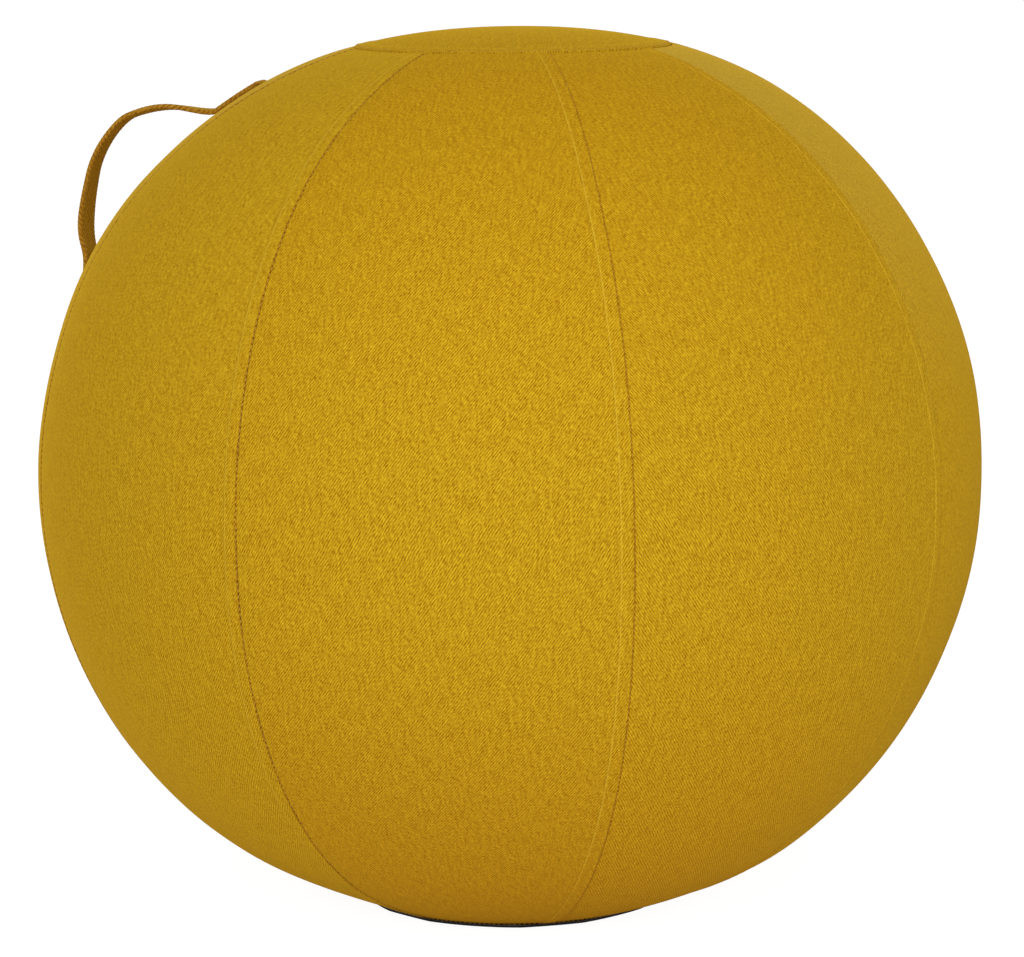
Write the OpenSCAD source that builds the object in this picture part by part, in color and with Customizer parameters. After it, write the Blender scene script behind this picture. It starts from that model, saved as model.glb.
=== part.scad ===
// Sitting ball: an inflated ball in a sewn cover, on a weighted non-slip base.
// The origin is the centre of the base's underside, +Z is up, and the handle is on the -X side.
// Eight tall panels and a round one make the cover. A zip behind the base lets the ball out.

/* [Ball shape] */
// Radius of the covered ball at its widest
ball_r = 325; // [260:5:400]
// Height of the crown over the widest line
crown_h = 310; // [250:1:380]
// Fullness of the upper half, where 2 is an ellipse
crown_power = 2.16; // [2:0.01:2.4]
// Depth that the lower curve would reach if the base didn't cut it
belly_h = 308; // [250:0.5:380]
// Fullness of the lower half, where 2 is an ellipse
belly_power = 2.085; // [2:0.005:2.4]

/* [Cover] */
// Thickness of the cover cloth
cloth_t = 1.2; // [0.8:0.1:2]
// Tall panels round the cover
panel_count = 8; // [8:4:12]
// Radius of the round panel on top
top_r = 113; // [80:1:150]
// Width of the ditch between two panels
seam_gap = 0.6; // [0.3:0.1:1.2]
// Width of the seam allowance that is folded under beside each seam
allowance_w = 9; // [5:0.5:14]
// How far the folded allowance lifts the cloth
allowance_t = 0.5; // [0.3:0.1:1]

/* [Inner ball] */
// Wall of the inflated ball
bladder_t = 1; // [0.7:0.1:2]
// Space between the cloth and the ball's skin
cover_gap = 0.8; // [0.8:0.1:2]

/* [Handle] */
// Width of the handle strap
strap_w = 25; // [15:1:40]
// Thickness of the handle strap
strap_t = 3.2; // [2:0.1:3.6]
// Height of the handle's lower root over the widest line
handle_low = 137.5; // [120:0.5:150]
// Height of the handle's upper root over the widest line
handle_high = 250.5; // [240:0.5:260]
// Rise of the loop over the straight line between its roots
handle_rise = 46.5; // [36:0.5:60]
// Length of strap sewn flat to the cover at each end
patch_len = 38; // [20:1:50]
// Distance from the lower root at which the loop starts to swing
low_cut = 15; // [12:0.5:18]
// Distance from the upper root at which the loop starts to swing
high_cut = 8; // [7:0.5:12]

/* [Base] */
// Radius of the seam between the cover and the base
base_r = 108.5; // [92:0.5:125]
// Thickness of the non-slip sheet
sheet_t = 2; // [1:0.1:3]
// Height of the rolled edge band
rim_h = 2.7; // [2.4:0.1:5]
// Height of the edge band over the floor
rim_lift = 0.4; // [0.2:0.1:1]
// How far the edge band reaches in under the cover
rim_w = 3.4; // [2.5:0.1:5]
// Inner radius of the steel ring
ring_in = 45; // [30:1:60]
// Clear margin from the steel ring to the base's edge band
ring_margin = 6.6; // [5:0.1:12]
// Thickness of the steel ring
ring_t = 6; // [4:0.5:8]
// Thickness of the felt pad over the steel ring
pad_t = 5.5; // [5.5:0.5:9]
// Radius of the valve well through the felt pad
well_r = 20; // [16:1:28]

/* [Zip] */
// Distance from the base's edge to the zip's centre line
zip_out = 10; // [9:0.5:12]
// Thickness of the zip tape
tape_t = 0.6; // [0.4:0.1:0.7]
// Width of each zip tape behind its teeth
tape_w = 6.8; // [6:0.1:8]
// Width of each row of teeth
tooth_w = 2.2; // [1.8:0.1:2.4]
// Height of the teeth
tooth_h = 2.2; // [1.8:0.1:2.6]
// Distance from tooth to tooth
tooth_pitch = 3; // [2.6:0.1:4]
// Open channel between the two rows
channel_w = 1; // [0.8:0.1:1.4]
// Wall of the slider
slider_t = 1.1; // [0.8:0.1:1.3]
// Length of the slider
slider_l = 11; // [9:0.5:13]
// Clear distance from the teeth to the edge of the cloth, each side
zip_reveal = 2.3; // [2.1:0.1:3]
// Length of the pull, from its pin to its tip
pull_l = 17; // [14:0.5:22]
// Width of the pull
pull_w = 6; // [5:0.5:7]
// Thickness of the pull
pull_t = 1; // [0.8:0.1:1.1]

/* [Valve] */
// Radius of the valve's bore
valve_r = 4; // [3:0.1:5]
// Wall of the valve's barrel round the plug's head
barrel_wall = 1.7; // [1.2:0.1:3]
// Length of the valve's barrel
barrel_l = 9; // [7:0.5:12]
// Radius of the plug's head
head_r = 9.5; // [8:0.1:11]
// Thickness of the plug's head
head_t = 1.5; // [1:0.1:2.5]
// Length of the plug's shaft
shaft_l = 14; // [13:0.5:18]

/* [Fits] */
// Radial clearance of the plug's shaft in its bore
shaft_fit = 0.05; // [0.02:0.01:0.1]
// Space between pieces that are sewn or laid together
seat_gap = 0.1; // [0.05:0.05:0.2]
// Clearance round pieces that slide
slide_gap = 0.2; // [0.15:0.05:0.3]
// Space between the swinging loop and its sewn roots
loop_gap = 0.3; // [0.2:0.05:0.5]
// Lowest point of the pull over the floor
floor_gap = 0.4; // [0.2:0.1:1]

/* [Hidden] */
$fn = 96;

mustard = "#b4890f";
black = "#1c1a1c";

// The ball's outline
// An angle of -90 is the bottom pole, 0 the widest line and 90 the top pole.
belly_steps = 20;
crown_steps = 20;
top_steps = 8;
edge_z = rim_lift + rim_h + seat_gap;
equator_z = edge_z + belly_h * pow(1 - pow(base_r / ball_r, belly_power), 1 / belly_power);

function skin(a) = a < 0
  ? [ball_r * pow(cos(a), 2 / belly_power), -belly_h * pow(sin(-a), 2 / belly_power)]
  : [ball_r * pow(cos(a), 2 / crown_power), crown_h * pow(sin(a), 2 / crown_power)];
function slant(p, h, power) = [
  pow(p.x / ball_r, power - 1) / ball_r,
  sign(p.y) * pow(abs(p.y) / h, power - 1) / h
];
function unit(v) = v / norm(v);
function outward(a) = a < 0
  ? unit(slant(skin(a), belly_h, belly_power))
  : unit(slant(skin(a), crown_h, crown_power));
function at_depth(a, d) = skin(a) - d * outward(a) + [0, equator_z];
function belly_angle(r) = -acos(pow(r / ball_r, belly_power / 2));
function crown_angle(r) = acos(pow(r / ball_r, crown_power / 2));
function crown_angle_at(z) = asin(pow(z / crown_h, crown_power / 2));
function mm_per_degree(a) = norm(skin(a + 0.5) - skin(a - 0.5));
function steps(a, b, n) = [for (i = [0 : n]) a + (b - a) * i / n];
function reversed(list) = [for (i = [len(list) - 1 : -1 : 0]) list[i]];
function line_at(angles, d) = [for (a = angles) at_depth(a, d)];
function band(angles, outer_d, inner_d) =
  concat(line_at(angles, outer_d), reversed(line_at(angles, inner_d)));
function full_run(a, b) =
  concat(steps(a, 0, belly_steps), [for (t = steps(0, b, crown_steps)) if (t > 0) t]);

// The cover's panels
panel_deg = 360 / panel_count;
seam_deg = seam_gap / ball_r * 180 / PI;
top_angle = crown_angle(top_r);
zip_panels = [2, 3, 4];
strip_sweep = 1.5 * asin(allowance_w / base_r);

// The zip lies in a cone that touches the cover along the zip's centre line
zip_r = base_r + zip_out;
zip_angle = belly_angle(zip_r);
zip_mid = at_depth(zip_angle, cloth_t / 2);
zip_slope = atan(outward(zip_angle).x / -outward(zip_angle).y);
tooth_out = channel_w / 2 + tooth_w;
spine_w = 0.7;
zip_reach = tooth_out + zip_reveal;
tape_rise = pow(tooth_out + tape_w, 2) / crown_h;
zip_v = cloth_t / 2 + seat_gap + tape_rise + tape_t / 2;
zip_from = panel_deg / 2;
zip_to = zip_from + len(zip_panels) * panel_deg;
tooth_deg = tooth_pitch / zip_r * 180 / PI;
teeth_from = zip_from + 2.2;
teeth_count = floor((zip_to - 2.2 - teeth_from) / tooth_deg);
teeth_to = teeth_from + teeth_count * tooth_deg;
stop_deg = 1.4;
tape_tuck = 1.5;
slider_deg = slider_l / zip_r * 180 / PI;
slider_at = teeth_from + slider_deg / 2 + 0.3;
slider_travel = teeth_to - slider_deg / 2 - 0.3 - slider_at;

// Slider and pull, as heights from the middle of the cloth
slider_half = tooth_out + slide_gap + slider_t;
plate_in = tooth_h / 2 + slide_gap;
plate_out = plate_in + slider_t;
pin_r = 0.5;
pin_v = zip_v - plate_out - pull_t / 2 - slide_gap;
bridge_w = 1.6;
bridge_t = 0.8;
bridge_l = 7.6;
bridge_v = pin_v - pin_r - slide_gap - bridge_t;
pin_z = zip_mid.y + pin_v * cos(zip_slope);
pull_side_drop = pull_w / 2 * sin(zip_slope);
pull_fall = pin_z - pull_side_drop - pull_t / 2 - floor_gap;
pull_droop = asin(min(0.9, pull_fall / (pull_l * cos(zip_slope))));

// Base and valve
sheet_r = base_r - rim_w - seat_gap;
ring_r = base_r - rim_w - ring_margin;
ring_z = sheet_t;
pad_z = ring_z + ring_t + seat_gap;
pad_top = pad_z + pad_t;
floor_z = pad_top + 2 * seat_gap;
skin_d = cloth_t + cover_gap;
barrel_r = head_r + slide_gap + barrel_wall;
recess_t = head_t + seat_gap;
flange_w = 4;
flange_t = 1.2;
plug_travel = floor_z - sheet_t - 0.3;

function angle_at_z(z, d, low, high, n) = n == 0
  ? (low + high) / 2
  : at_depth((low + high) / 2, d).y < z
    ? angle_at_z(z, d, (low + high) / 2, high, n - 1)
    : angle_at_z(z, d, low, (low + high) / 2, n - 1);

// The handle's middle line, in the plane through the axis
low_angle = crown_angle_at(handle_low);
high_angle = crown_angle_at(handle_high);
strap_d = -strap_t / 2 - seat_gap;
low_root = at_depth(low_angle, strap_d);
high_root = at_depth(high_angle, strap_d);
span = norm(high_root - low_root);
along = unit(high_root - low_root);
away = [along.y, -along.x];
// Handles of the loop's three curves: share of the span, share of the rise
loop_shape = [
  [0, 0], [0.17, 0.305], [0.035, 0.315], [0.395, 0.87],
  [0.52, 1.055], [0.675, 1.025], [0.725, 0.94],
  [0.91, 0.6], [0.92, 0.285], [1, 0]
];
function loop_point(s) = low_root + s.x * span * along + s.y * handle_rise * away;
function curve(p, t) =
  pow(1 - t, 3) * p[0] + 3 * pow(1 - t, 2) * t * p[1] + 3 * (1 - t) * t * t * p[2] + pow(t, 3) * p[3];
function loop_run(k) = [for (i = [0 : 7]) curve([for (j = [0 : 3]) loop_point(loop_shape[3 * k + j])], i / 8)];
function patch_run(a, way) =
  line_at(steps(a, a + way * patch_len / mm_per_degree(a), 6), strap_d);
strap_line = concat(
  [for (i = [6 : -1 : 1]) patch_run(low_angle, -1)[i]],
  loop_run(0), loop_run(1), loop_run(2),
  patch_run(high_angle, 1)
);
function left_of(v) = [-v.y, v.x];
function line_side(line, i, w) =
  let (before = unit(line[max(i, 1)] - line[max(i, 1) - 1]),
       after = unit(line[min(i + 1, len(line) - 1)] - line[min(i, len(line) - 2)]),
       middle = unit(left_of(before + after)))
  line[i] + w * middle / (middle * left_of(after));
function ribbon(line, w) = concat(
  [for (i = [0 : len(line) - 1]) line_side(line, i, w / 2)],
  [for (i = [len(line) - 1 : -1 : 0]) line_side(line, i, -w / 2)]
);

// Where the joints are, in the part's frame
echo(handle_axis_at = [-low_root.x, 0, low_root.y], handle_axis = [-along.x, 0, along.y]);
echo(slider_travel = slider_travel, plug_travel = plug_travel, pull_droop = pull_droop);
echo(
  pin_at = [
    (zip_mid.x - pin_v * sin(zip_slope)) * cos(slider_at),
    (zip_mid.x - pin_v * sin(zip_slope)) * sin(slider_at),
    pin_z
  ],
  pin_axis = [cos(zip_slope) * cos(slider_at), cos(zip_slope) * sin(slider_at), sin(zip_slope)]
);
echo(equator_z = equator_z, height = equator_z + crown_h, span = span, zip_slope = zip_slope);

// Inner ball, its valve and the plug
module inner_ball() {
  outer_a = angle_at_z(floor_z, skin_d, -90, 0, 30);
  inner_a = angle_at_z(floor_z + bladder_t, skin_d + bladder_t, -90, 0, 30);
  outer_line = line_at(full_run(outer_a, 90), skin_d);
  inner_line = line_at(full_run(inner_a, 90), skin_d + bladder_t);
  hole = barrel_r + seat_gap;
  color("#8d9299")
    rotate_extrude()
      polygon(concat(
        [[hole, floor_z]], outer_line,
        reversed(inner_line), [[hole, floor_z + bladder_t]]
      ));
}

module valve_seat() {
  color("#6f747b")
    translate([0, 0, floor_z])
      rotate_extrude()
        polygon([
          [head_r + slide_gap, 0], [barrel_r, 0],
          [barrel_r, bladder_t + seat_gap], [barrel_r + flange_w, bladder_t + seat_gap],
          [barrel_r + flange_w, bladder_t + flange_t], [barrel_r, bladder_t + 2 * flange_t],
          [barrel_r - barrel_wall, barrel_l], [valve_r, barrel_l],
          [valve_r, recess_t], [head_r + slide_gap, recess_t]
        ]);
}

module valve_plug() {
  shaft_r = valve_r - shaft_fit;
  tip = shaft_r / 3;
  color("#e7e4dc")
    translate([0, 0, floor_z])
      rotate_extrude()
        polygon([
          [0, 0], [head_r - head_t / 3, 0], [head_r, head_t / 3], [head_r, head_t],
          [shaft_r, head_t], [shaft_r, head_t + shaft_l - tip],
          [shaft_r - tip, head_t + shaft_l], [0, head_t + shaft_l]
        ]);
}

// One tall panel: its cloth, and the strip that the folded allowance lifts on the seam's left
module panel(k) {
  at_zip = len([for (z = zip_panels) if (z == k) z]) > 0;
  low = at_zip ? belly_angle(zip_r + zip_reach * cos(zip_slope)) : belly_angle(base_r);
  start = (k - 1.5) * panel_deg + seam_deg / 2;
  sweep = panel_deg - seam_deg;
  run = full_run(low, top_angle);
  strip_run = full_run(low + 0.3, top_angle - 0.3);
  color(mustard) {
    rotate([0, 0, start])
      rotate_extrude(angle = sweep)
        polygon(band(run, 0, cloth_t));
    intersection() {
      rotate([0, 0, start + sweep - strip_sweep])
        rotate_extrude(angle = strip_sweep + seam_deg)
          polygon(band(strip_run, -allowance_t, cloth_t / 2));
      rotate([0, 0, start + sweep])
        translate([0, -allowance_w, 0])
          cube([2 * ball_r, allowance_w - seam_gap / 2, 2 * (equator_z + crown_h)]);
    }
  }
}

module top_panel() {
  edge_gap = seam_gap / mm_per_degree(top_angle);
  color(mustard)
    rotate_extrude()
      polygon(band(steps(top_angle + edge_gap, 90, top_steps), 0, cloth_t));
}

// The handle is one strap: two sewn ends and the loop that swings between them
module strap_part(from, to) {
  rotate([0, 0, 180])
    rotate([90, 0, 0])
      linear_extrude(height = strap_w, center = true)
        intersection() {
          polygon(ribbon(strap_line, strap_t));
          translate(low_root)
            rotate(atan2(along.y, along.x))
              translate([from, -3 * handle_rise])
                square([to - from, 4 * handle_rise]);
        }
}
module handle_root_low() {
  color(mustard) strap_part(-2 * patch_len, low_cut - loop_gap);
}
module handle_root_high() {
  color(mustard) strap_part(span - high_cut + loop_gap, span + 2 * patch_len);
}
module handle_loop() {
  color(mustard) strap_part(low_cut, span - high_cut);
}

// The weighted base
module base_sheet() {
  bevel = sheet_t / 4;
  color(black)
    rotate_extrude()
      polygon([
        [0, 0], [sheet_r - bevel, 0], [sheet_r, bevel],
        [sheet_r, sheet_t], [0, sheet_t]
      ]);
}

module base_rim() {
  color(black)
    translate([0, 0, rim_lift])
      rotate_extrude()
        translate([base_r - rim_w, 0]) {
          square([rim_w - 0.55, rim_h]);
          translate([rim_w - 0.55, rim_h / 2])
            circle(d = rim_h);
        }
}

module weight_ring() {
  bevel = 0.8;
  color("#777b80")
    translate([0, 0, ring_z])
      rotate_extrude()
        polygon([
          [ring_in + bevel, 0], [ring_r - bevel, 0], [ring_r, bevel], [ring_r, ring_t - bevel],
          [ring_r - bevel, ring_t], [ring_in + bevel, ring_t],
          [ring_in, ring_t - bevel], [ring_in, bevel]
        ]);
}

// The felt pad lies on the steel ring, and its skirt holds the ring in the middle
module base_pad() {
  skirt_in = ring_r + seat_gap;
  skirt_out = sheet_r - 4 * seat_gap;
  color("#3b383b")
    rotate_extrude()
      polygon([
        [well_r, pad_z], [skirt_in, pad_z], [skirt_in, sheet_t + seat_gap],
        [skirt_out, sheet_t + seat_gap], [skirt_out, pad_top], [well_r, pad_top]
      ]);
}

// The zip: shapes are drawn across it, outward along the cover and up into the ball
module across_zip(from, to) {
  rotate([0, 0, from])
    rotate_extrude(angle = to - from, $fn = 720)
      translate(zip_mid)
        rotate(zip_slope)
          children();
}
module on_zip(theta) {
  rotate([0, 0, theta])
    translate([zip_mid.x, 0, zip_mid.y])
      rotate([0, -zip_slope, 0])
        children();
}
module zip_facing() {
  inner = belly_angle(base_r);
  outer = belly_angle(zip_r - zip_reach * cos(zip_slope));
  color(mustard)
    rotate([0, 0, zip_from + seam_deg])
      rotate_extrude(angle = zip_to - zip_from - 2 * seam_deg)
        polygon(band(steps(inner, outer, 2), 0, cloth_t));
}

module zip_tape(side) {
  color("#a67f12")
    across_zip(zip_from - tape_tuck, zip_to + tape_tuck)
      translate([side > 0 ? tooth_out : -tooth_out - tape_w, zip_v - tape_t / 2])
        square([tape_w, tape_t]);
}
module zip_tape_cover() { zip_tape(1); }
module zip_tape_base() { zip_tape(-1); }

// A row of teeth on a common spine along its tape: each tooth fills half of its pitch
module teeth(side) {
  tip = zip_mid.x - zip_v * sin(zip_slope);
  spine = tip + side * (tooth_out - spine_w);
  far = tip + side * 2 * tooth_out;
  shift = side > 0 ? 0 : 0.4;
  comb = concat(
    [for (i = [0 : teeth_count - 1], step = [[0, spine], [0.12, tip], [0.42, tip], [0.54, spine]])
      let (t = teeth_from + (i + step[0] + shift) * tooth_deg)
      step[1] * [cos(t), sin(t)]],
    [for (i = [0 : 24])
      let (t = teeth_to + (teeth_from - teeth_to) * i / 24)
      far / cos(panel_deg / 16) * [cos(t), sin(t)]]
  );
  color("#8a6a12")
    intersection() {
      across_zip(teeth_from, teeth_to)
        translate([side > 0 ? channel_w / 2 : -tooth_out, zip_v - tooth_h / 2])
          square([tooth_w, tooth_h]);
      linear_extrude(height = 3 * edge_z + pad_top)
        polygon(comb);
    }
}
module zip_teeth_cover() { teeth(1); }
module zip_teeth_base() { teeth(-1); }

module zip_end_box() {
  color("#b08d4a")
    across_zip(teeth_to + 0.1, teeth_to + 0.1 + stop_deg)
      translate([-tooth_out, zip_v - tooth_h / 2])
        square([2 * tooth_out, tooth_h]);
}

module zip_top_stops() {
  color("#b08d4a")
    for (side = [0, 1])
      across_zip(teeth_from - 0.1 - stop_deg, teeth_from - 0.1)
        translate([side * (tooth_out + channel_w / 2) - tooth_out, zip_v - tooth_h / 2])
          square([tooth_w, tooth_h]);
}

// Two plates with turned-in rims, a post between the rows, and a bridge for the pull
module slider_section() {
  rim_reach = plate_in - tape_t / 2 - slide_gap;
  for (way = [-1, 1])
    translate([0, zip_v])
      scale([1, way])
        for (side = [-1, 1]) {
          translate([-slider_half, plate_in])
            square([2 * slider_half, slider_t]);
          translate([side * (slider_half - slider_t / 2) - slider_t / 2, plate_in - rim_reach])
            square([slider_t, rim_reach + slider_t / 2]);
        }
}
module slider_outline() {
  back = slider_half - 0.8;
  union() {
    translate([-back, 0])
      square([2 * back, slider_l / 2]);
    polygon([
      [-back, 0.5], [-slider_half, -slider_l / 6], [-slider_half, -slider_l / 2 + 1.5],
      [-slider_half + 1.5, -slider_l / 2], [slider_half - 1.5, -slider_l / 2],
      [slider_half, -slider_l / 2 + 1.5], [slider_half, -slider_l / 6], [back, 0.5]
    ]);
  }
}
module zip_slider() {
  post_w = channel_w - 2 * slide_gap;
  color("#c9c6bf") {
    intersection() {
      across_zip(slider_at - slider_deg, slider_at + slider_deg)
        slider_section();
      on_zip(slider_at)
        translate([0, 0, -10])
          linear_extrude(height = 20)
            slider_outline();
    }
    across_zip(slider_at - slider_deg * 0.4, slider_at - slider_deg * 0.1)
      translate([-post_w / 2, zip_v - plate_out + slider_t / 2])
        square([post_w, 2 * plate_out - slider_t]);
    on_zip(slider_at)
      translate([bridge_w / 2, 0, 0])
        rotate([0, -90, 0])
          linear_extrude(height = bridge_w)
            difference() {
              translate([bridge_v, -bridge_l / 2])
                square([zip_v - plate_out - bridge_v + slider_t / 2, bridge_l]);
              translate([bridge_v + bridge_t, -bridge_l / 2 + bridge_t])
                square([zip_v - plate_out - bridge_v - bridge_t, bridge_l - 2 * bridge_t]);
            }
  }
}

// The pull's pin lies under the bridge, and its arms pass on either side of it
module zip_pull() {
  arm_in = bridge_w / 2 + slide_gap;
  eye_l = bridge_l / 2 + 1.2;
  color("#c9c6bf")
    on_zip(slider_at)
      translate([0, 0, pin_v])
        rotate([-pull_droop, 0, 0]) {
          rotate([0, 90, 0])
            cylinder(r = pin_r, h = pull_w - 0.6, center = true, $fn = 32);
          translate([0, 0, -pull_t / 2])
            linear_extrude(height = pull_t)
              difference() {
                union() {
                  translate([-pull_w / 2 + 0.2, 0])
                    square([pull_w - 0.4, pull_l - pull_w / 2]);
                  translate([0, pull_l - pull_w / 2])
                    circle(d = pull_w, $fn = 48);
                }
                translate([-arm_in, -1])
                  square([2 * arm_in, 1 + eye_l]);
                translate([0, pull_l - pull_w / 2])
                  circle(d = pull_w / 2.6, $fn = 32);
              }
        }
}

inner_ball();
valve_seat();
valve_plug();
panel(1);  // panel_1
panel(2);  // panel_2
panel(3);  // panel_3
panel(4);  // panel_4
panel(5);  // panel_5
panel(6);  // panel_6
panel(7);  // panel_7
panel(8);  // panel_8
top_panel();
handle_root_low();
handle_root_high();
handle_loop();
base_sheet();
base_rim();
weight_ring();
base_pad();
zip_facing();
zip_tape_cover();
zip_tape_base();
zip_teeth_cover();
zip_teeth_base();
zip_end_box();
zip_top_stops();
zip_slider();
zip_pull();
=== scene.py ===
# Sitting ball, dressed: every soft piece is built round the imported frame, in metres.
import math
from functools import partial

import bpy
import numpy as np
from mathutils import Euler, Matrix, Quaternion, Vector


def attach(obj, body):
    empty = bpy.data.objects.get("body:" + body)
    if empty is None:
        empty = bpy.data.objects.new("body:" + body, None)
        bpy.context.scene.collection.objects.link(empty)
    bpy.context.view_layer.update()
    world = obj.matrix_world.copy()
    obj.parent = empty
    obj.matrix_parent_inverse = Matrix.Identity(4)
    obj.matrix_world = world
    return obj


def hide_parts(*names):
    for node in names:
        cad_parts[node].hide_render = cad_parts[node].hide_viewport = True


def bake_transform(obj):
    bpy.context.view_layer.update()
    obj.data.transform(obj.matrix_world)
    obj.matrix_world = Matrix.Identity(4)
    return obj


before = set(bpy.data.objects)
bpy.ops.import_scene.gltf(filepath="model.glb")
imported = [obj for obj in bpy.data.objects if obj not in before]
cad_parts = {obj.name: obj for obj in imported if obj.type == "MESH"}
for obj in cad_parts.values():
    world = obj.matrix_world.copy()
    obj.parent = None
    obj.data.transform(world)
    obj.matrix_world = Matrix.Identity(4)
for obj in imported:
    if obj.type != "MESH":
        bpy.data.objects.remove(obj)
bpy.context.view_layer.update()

# Sizes of the real object, the same as the frame's apart from the top ring's radius
ball_r, crown_h, crown_power = 0.325, 0.310, 2.16
belly_h, belly_power = 0.308, 2.085
panel_count, zip_panels, top_r = 8, (2, 3, 4), 0.1085
cloth_t, allowance_w, allowance_lift = 0.0012, 0.009, 0.0005
strap_w, strap_t, patch_len = 0.025, 0.0032, 0.038
handle_low, handle_high, handle_rise = 0.1375, 0.2505, 0.0465
base_r, sheet_t, rim_h, rim_lift, rim_w = 0.1085, 0.002, 0.0027, 0.0004, 0.0034
ring_margin, ring_t, pad_t, well_r = 0.0066, 0.006, 0.0055, 0.020
zip_out, tape_t, tape_w, tooth_w, channel_w, zip_reveal = 0.010, 0.0006, 0.0068, 0.0022, 0.001, 0.0023
seat_gap, slide_gap, bladder_t, cover_gap = 0.0001, 0.0002, 0.001, 0.0008
head_r, barrel_wall, grip_gap = 0.0095, 0.0017, 0.0013
# Stitches: their pitch, their length and their thread's thickness
seam_stitch, ring_stitch = (0.004, 0.0028, 0.0006), (0.0034, 0.0026, 0.0006)
hem_stitch, strap_stitch = (0.0034, 0.0026, 0.0005), (0.003, 0.0024, 0.0006)
zip_stitch, thread_sunk = (0.0032, 0.0025, 0.00055), 0.00022
# How far from its seam each sewn row runs, and how far the strap's rows lie in from its edges
ring_row, hem_row, zip_row, strap_inset = 0.0024, 0.0036, 0.0018, 0.003

edge_z = rim_lift + rim_h + seat_gap
widest_z = edge_z + belly_h * (1 - (base_r / ball_r) ** belly_power) ** (1 / belly_power)
panel_deg = 360 / panel_count
sweep = math.radians(panel_deg)


def skin(angle, depth=0.0):
    """Radius and height of the cover's outline: -90 is the bottom pole, 0 the widest line, 90 the top."""
    a = np.radians(np.asarray(angle, float))
    power = np.where(a < 0, belly_power, crown_power)
    tall = np.where(a < 0, belly_h, crown_h)
    share_r = np.cos(a) ** (2 / power)
    share_z = np.abs(np.sin(a)) ** (2 / power)
    out_r = share_r ** (power - 1) / ball_r
    out_z = np.sign(a) * share_z ** (power - 1) / tall
    size = np.hypot(out_r, out_z)
    radius = ball_r * share_r - depth * out_r / size
    height = widest_z + np.sign(a) * tall * share_z - depth * out_z / size
    return np.stack([radius, height], -1)


def belly_angle(radius):
    return -math.degrees(math.acos((radius / ball_r) ** (belly_power / 2)))


def crown_angle(radius):
    return math.degrees(math.acos((radius / ball_r) ** (crown_power / 2)))


def crown_angle_at(height):
    return math.degrees(math.asin((height / crown_h) ** (crown_power / 2)))


def metres_per_degree(angle):
    return float(np.hypot(*(skin(angle + 0.5) - skin(angle - 0.5))))


def turned_round(profile, degrees):
    """Points of radius and height, turned round the axis to an angle or to one angle each."""
    turn = np.radians(np.broadcast_to(degrees, len(profile)))
    return np.stack([profile[:, 0] * np.cos(turn), profile[:, 0] * np.sin(turn), profile[:, 1]], -1)


def round_row(at, first, last, count):
    """A row of points round the ball, all at one radius and height."""
    return turned_round(np.tile(at, (count, 1)), np.linspace(first, last, count))


top_angle = crown_angle(top_r)
zip_r = base_r + zip_out
zip_slope = math.atan2(*(skin(belly_angle(zip_r) + 0.05) - skin(belly_angle(zip_r) - 0.05))[::-1])
zip_mid = skin(belly_angle(zip_r), cloth_t / 2)
tooth_out = channel_w / 2 + tooth_w
zip_reach = tooth_out + zip_reveal
zip_from, zip_to = panel_deg / 2, panel_deg * (len(zip_panels) + 0.5)

# Node trees


def linear(hexes):
    """An sRGB hex colour as the linear RGBA that a shader takes."""
    parts = [int(hexes[i : i + 2], 16) / 255 for i in (1, 3, 5)]
    return [p / 12.92 if p <= 0.04045 else ((p + 0.055) / 1.055) ** 2.4 for p in parts] + [1.0]


def add(tree, kind, settings=None, *values, **named):
    """One node with its settings, or just its operation. Its inputs come in order or by name."""
    node = tree.nodes.new(kind)
    if isinstance(settings, str):
        settings = {"operation": settings}
    for key, value in (settings or {}).items():
        setattr(node, key, value)
    for key, value in [*enumerate(values), *named.items()]:
        socket = node.inputs[key if isinstance(key, int) else key.replace("_", " ")]
        if isinstance(value, bpy.types.Node):
            value = value.outputs[0]
        if isinstance(value, bpy.types.NodeSocket):
            tree.links.new(value, socket)
        elif value is not None:
            socket.default_value = value
    return node


MATH, VECTOR, RANGE = "ShaderNodeMath", "ShaderNodeVectorMath", "ShaderNodeMapRange"
NOISE, SPLIT, JOIN = "ShaderNodeTexNoise", "ShaderNodeSeparateXYZ", "ShaderNodeCombineXYZ"

# Materials


def surface(name, **constant):
    """A new material, its node tree and its shader, with the values that are constant on it."""
    material = bpy.data.materials.new(name)
    material.use_nodes = True
    tree = material.node_tree
    tree.nodes.clear()
    shader = add(tree, "ShaderNodeBsdfPrincipled", None, **constant)
    add(tree, "ShaderNodeOutputMaterial", None, shader)
    return material, tree, shader


def blended(tree, shader, share, dark, light, washes=()):
    """The base colour between two hex colours. Each wash lays its colour over by a share of its own."""
    mix = add(tree, "ShaderNodeMix", {"data_type": "RGBA"}, share)
    mix.inputs[6].default_value, mix.inputs[7].default_value = linear(dark), linear(light)
    for way, colour, strength in washes:
        over = add(tree, "ShaderNodeMix", {"data_type": "RGBA", "blend_type": way}, strength)
        tree.links.new(mix.outputs[2], over.inputs[6])
        over.inputs[7].default_value = linear(colour)
        mix = over
    tree.links.new(mix.outputs[2], shader.inputs["Base Color"])


def raised(tree, shader, height, strength, distance):
    """Relief of that height field, so many metres deep."""
    bump = add(tree, "ShaderNodeBump", None, Strength=strength, Distance=distance, Height=height)
    tree.links.new(bump.outputs[0], shader.inputs["Normal"])


# The twill's pattern: how large its strokes, slubs, patches and wanderings are
stroke_size, slub_size = (0.0010, 0.0023, 1), (0.0025, 0.012, 1)
patch_size, wander_size, wander_turns = 0.006, 0.012, 6.0
stroke_weight, slub_weight = 1.5, 0.85
# How far from a seam the painted shade reaches, and where and how wide the painted highlight lies along the
# crest of the fold
seam_shade_w, crest_in, crest_w, fold_edge_w = 0.0010, 0.0006, 0.0009, 0.0005


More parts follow.
